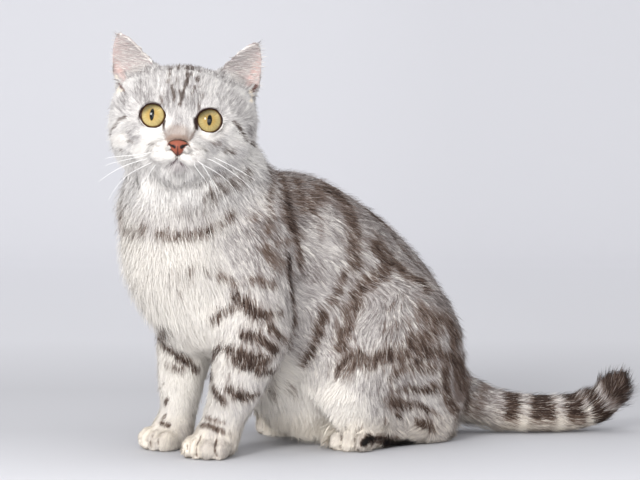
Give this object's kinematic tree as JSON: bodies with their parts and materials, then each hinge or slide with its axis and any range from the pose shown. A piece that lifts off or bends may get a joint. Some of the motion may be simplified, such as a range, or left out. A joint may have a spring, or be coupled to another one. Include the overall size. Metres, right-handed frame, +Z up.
{
  "type": "sitting cat",
  "caption": "Short-haired tabby cat sitting upright on its haunches, head turned to its left, tail laid out behind and to one side; a still figure.",
  "frame": {"origin": "on the floor, under the middle of the model's box", "axes": "+X the way the cat's body faces, +Y to the cat's left, +Z up"},
  "size_m": [0.4424, 0.186, 0.3286],
  "materials": {
    "coat": "short dense fur, silver with dark brown tabby marks",
    "pale_coat": "short dense fur, cream white",
    "nose_leather": "fine grained, slightly moist",
    "eye": "clear wet cornea over a gold iris"
  },
  "bodies": {
    "root": {"head": "coat", "neck": "coat", "torso": "coat", "left_ear": "coat", "right_ear": "coat", "left_eye": "eye", "right_eye": "eye", "nose": "nose_leather", "left_upper_arm": "coat", "right_upper_arm": "coat", "left_forearm": "coat", "right_forearm": "coat", "left_front_paw": "pale_coat", "right_front_paw": "pale_coat", "left_thigh": "coat", "right_thigh": "coat", "left_lower_hind_leg": "coat", "right_lower_hind_leg": "coat", "left_hind_foot": "pale_coat", "right_hind_foot": "pale_coat", "tail_base": "coat", "tail_middle": "coat", "tail_tip": "coat"}
  },
  "joints": []
}
